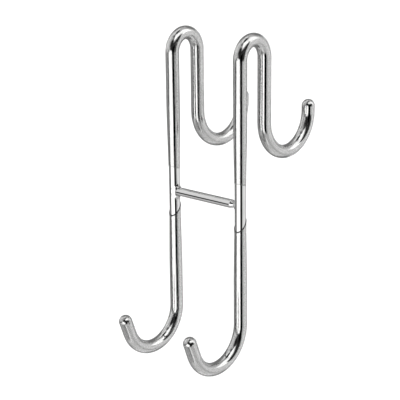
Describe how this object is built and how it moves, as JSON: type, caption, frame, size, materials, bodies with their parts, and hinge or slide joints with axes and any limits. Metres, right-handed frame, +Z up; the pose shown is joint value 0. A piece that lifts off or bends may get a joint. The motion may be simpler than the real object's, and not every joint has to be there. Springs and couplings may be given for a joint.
{
  "type": "over-door hook rack",
  "caption": "Bent-rod hook rack that drops over a door's top edge, with plastic-sleeved hooks on both faces and a welded crossbar.",
  "frame": {"origin": "where the door's top edge meets the saddle: midway between the rods, in the middle of the gap, on the underside of the sleeved bends", "axes": "+X from the left rod to the right rod as seen from the front, +Y towards the back of the door, +Z up"},
  "size_m": [0.0544, 0.1066, 0.1789],
  "materials": {
    "chrome": "bright polished plating",
    "clear_sleeve": "clear soft PVC, glossy"
  },
  "bodies": {
    "root": {"rod_left": "chrome", "rod_right": "chrome", "crossbar": "chrome", "weld_left": "chrome", "weld_right": "chrome", "upper_sleeve_left": "clear_sleeve", "upper_sleeve_right": "clear_sleeve", "lower_sleeve_left": "clear_sleeve", "lower_sleeve_right": "clear_sleeve"}
  },
  "joints": []
}
